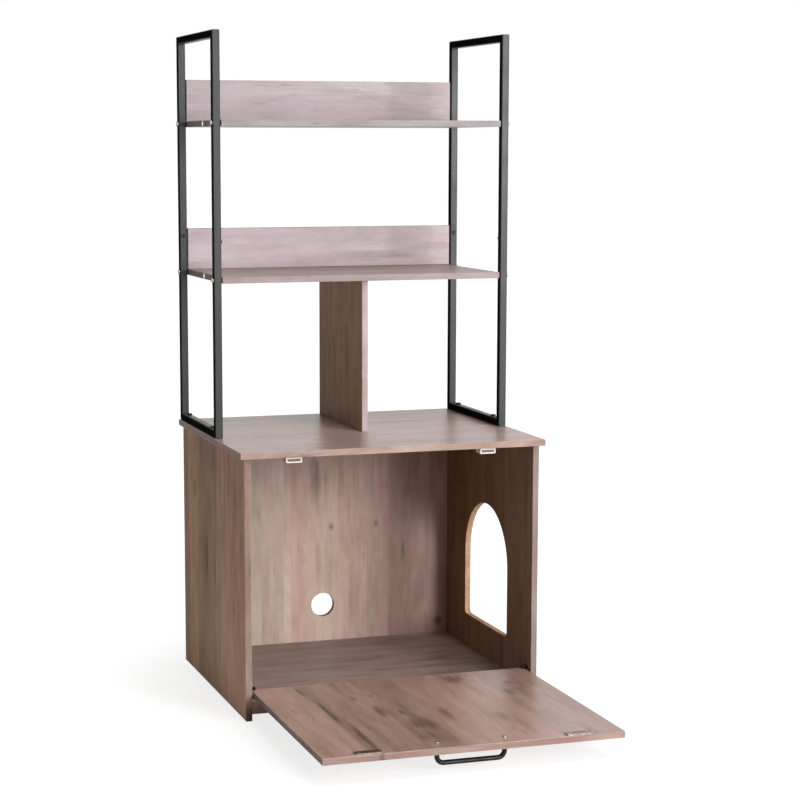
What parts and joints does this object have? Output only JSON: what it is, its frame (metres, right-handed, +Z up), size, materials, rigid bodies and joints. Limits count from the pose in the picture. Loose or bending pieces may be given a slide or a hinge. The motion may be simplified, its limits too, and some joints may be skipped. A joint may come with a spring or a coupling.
{
  "type": "litter box cabinet",
  "caption": "Litter box cabinet with a drop-down front flap, an arched cat doorway in one side panel, and an open shelf rack on square steel tube frames above it.",
  "frame": {"origin": "on the ground, under the middle of the cabinet with its flap door lying open", "axes": "+Z up, the front with its flap door looks along -Y, the cat's doorway is in the +X side panel"},
  "size_m": [0.6014, 0.9344, 1.2763],
  "materials": {
    "board": "greyed oak foil on particle board, satin",
    "tube": "fine powder coat, semi-matt black",
    "zinc": "bright zinc plated",
    "strike_plate": "polished nickel plated steel",
    "black_steel": "satin black",
    "cream_plastic": "cream moulded plastic",
    "black_plastic": "black moulded plastic",
    "magnet": "dark ferrite magnet between steel pole plates",
    "white_plug": "white moulded plastic"
  },
  "bodies": {
    "cabinet": {"left_side_panel": "board", "right_side_panel": "board", "cabinet_top_panel": "board", "floor_panel": "board", "back_panel": "board", "pivot_bush_left": "black_plastic", "pivot_bush_right": "black_plastic", "door_stop_left": "black_plastic", "door_stop_right": "black_plastic", "catch_housing_left": "cream_plastic", "catch_housing_right": "cream_plastic", "catch_magnet_left": "magnet", "catch_magnet_right": "magnet", "catch_screw_left_1": "zinc", "catch_screw_left_2": "zinc", "catch_screw_right_1": "zinc", "catch_screw_right_2": "zinc", "lower_frame_left": "tube", "lower_frame_right": "tube", "upper_frame_left": "tube", "upper_frame_right": "tube", "joint_screw_left_front": "black_steel", "joint_screw_left_rear": "black_steel", "joint_screw_right_front": "black_steel", "joint_screw_right_rear": "black_steel", "rail_bolt_left_front": "black_steel", "rail_bolt_left_rear": "black_steel", "rail_bolt_right_front": "black_steel", "rail_bolt_right_rear": "black_steel", "lower_shelf_bolt_left_front": "zinc", "lower_shelf_bolt_left_rear": "zinc", "lower_shelf_bolt_right_front": "zinc", "lower_shelf_bolt_right_rear": "zinc", "upper_shelf_bolt_left_front": "zinc", "upper_shelf_bolt_left_rear": "zinc", "upper_shelf_bolt_right_front": "zinc", "upper_shelf_bolt_right_rear": "zinc", "lower_shelf_plug_left": "white_plug", "lower_shelf_plug_right": "white_plug", "upper_shelf_plug_left": "white_plug", "upper_shelf_plug_right": "white_plug", "lower_shelf": "board", "upper_shelf": "board", "lower_back_board": "board", "upper_back_board": "board", "divider_panel": "board"},
    "door": {"door_panel": "board", "door_handle": "black_steel", "handle_screw_left": "zinc", "handle_screw_right": "zinc", "pivot_pin_left": "zinc", "pivot_pin_right": "zinc", "strike_plate_left": "strike_plate", "strike_plate_right": "strike_plate", "strike_screw_left_1": "zinc", "strike_screw_left_2": "zinc", "strike_screw_right_1": "zinc", "strike_screw_right_2": "zinc"}
  },
  "joints": [
    {"name": "door_pivot", "type": "hinge", "parent": "cabinet", "child": "door", "pos_m": [0, -0.02225, 0.047], "axis": [-1, 0, 0], "range_deg": [0, 90]}
  ]
}
